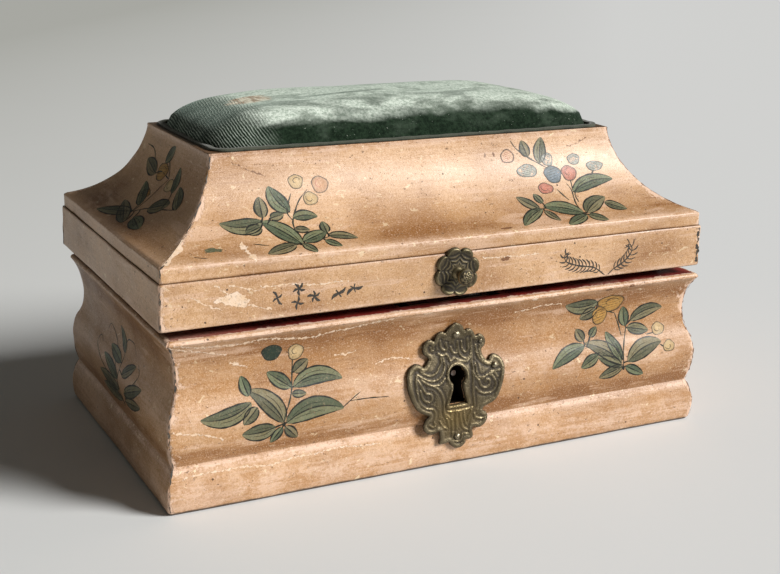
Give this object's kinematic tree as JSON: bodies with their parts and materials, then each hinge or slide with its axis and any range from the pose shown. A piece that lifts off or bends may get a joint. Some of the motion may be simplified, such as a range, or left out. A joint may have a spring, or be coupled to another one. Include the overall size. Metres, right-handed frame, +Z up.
{
  "type": "wooden sewing box",
  "caption": "Small old painted sewing box with moulded sides, a hinged coved lid with a velvet pincushion on top, a brass knob, a lobed keyhole plate and a sliding-bolt lock.",
  "frame": {"origin": "middle of the case's underside, on the surface it stands on", "axes": "+X to the right along the front, -Y out of the front with the keyhole, +Z up"},
  "size_m": [0.2121, 0.128, 0.1253],
  "materials": {
    "painted_wood": "old ochre paint, worn and varnished",
    "bare_wood": "bare, darkened with age",
    "red_wood": "old red paint",
    "old_brass": "tarnished",
    "steel": "dull, darkened",
    "velvet": "worn green velvet",
    "piping": "green velvet band"
  },
  "bodies": {
    "case": {"front_board": "painted_wood", "back_board": "painted_wood", "left_board": "painted_wood", "right_board": "painted_wood", "bottom_board": "bare_wood", "front_lining": "red_wood", "back_lining": "red_wood", "left_lining": "red_wood", "right_lining": "red_wood", "partition_left": "red_wood", "partition_right": "red_wood", "partition_middle": "red_wood", "lock_plate": "steel", "lock_cap": "steel", "lock_spring": "steel", "drill_pin": "steel", "lock_nails": "steel", "escutcheon": "old_brass", "escutcheon_pins": "old_brass", "case_leaf_left": "old_brass", "case_leaf_right": "old_brass", "hinge_pin_left": "steel", "hinge_pin_right": "steel", "case_leaf_nails": "steel"},
    "lid": {"lid_front_rail": "painted_wood", "lid_back_rail": "painted_wood", "lid_left_rail": "painted_wood", "lid_right_rail": "painted_wood", "lid_front_cove": "painted_wood", "lid_back_cove": "painted_wood", "lid_left_cove": "painted_wood", "lid_right_cove": "painted_wood", "lid_top_board": "painted_wood", "lid_hook": "steel", "lid_hook_nails": "steel", "lid_leaf_left": "old_brass", "lid_leaf_right": "old_brass", "lid_leaf_nails": "steel", "knob": "old_brass", "knob_rosette": "old_brass", "knob_rove": "old_brass", "cushion": "velvet", "cushion_piping": "piping"},
    "bolt": {"lock_bolt": "steel"}
  },
  "joints": [
    {"name": "lid_hinge", "type": "hinge", "parent": "case", "child": "lid", "pos_m": [0, 0.0583, 0.06015], "axis": [-1, 0, 0], "range_deg": [0, 106]},
    {"name": "bolt_slide", "type": "slide", "parent": "case", "child": "bolt", "axis": [1, 0, 0], "range_m": [0, 0.005]}
  ]
}
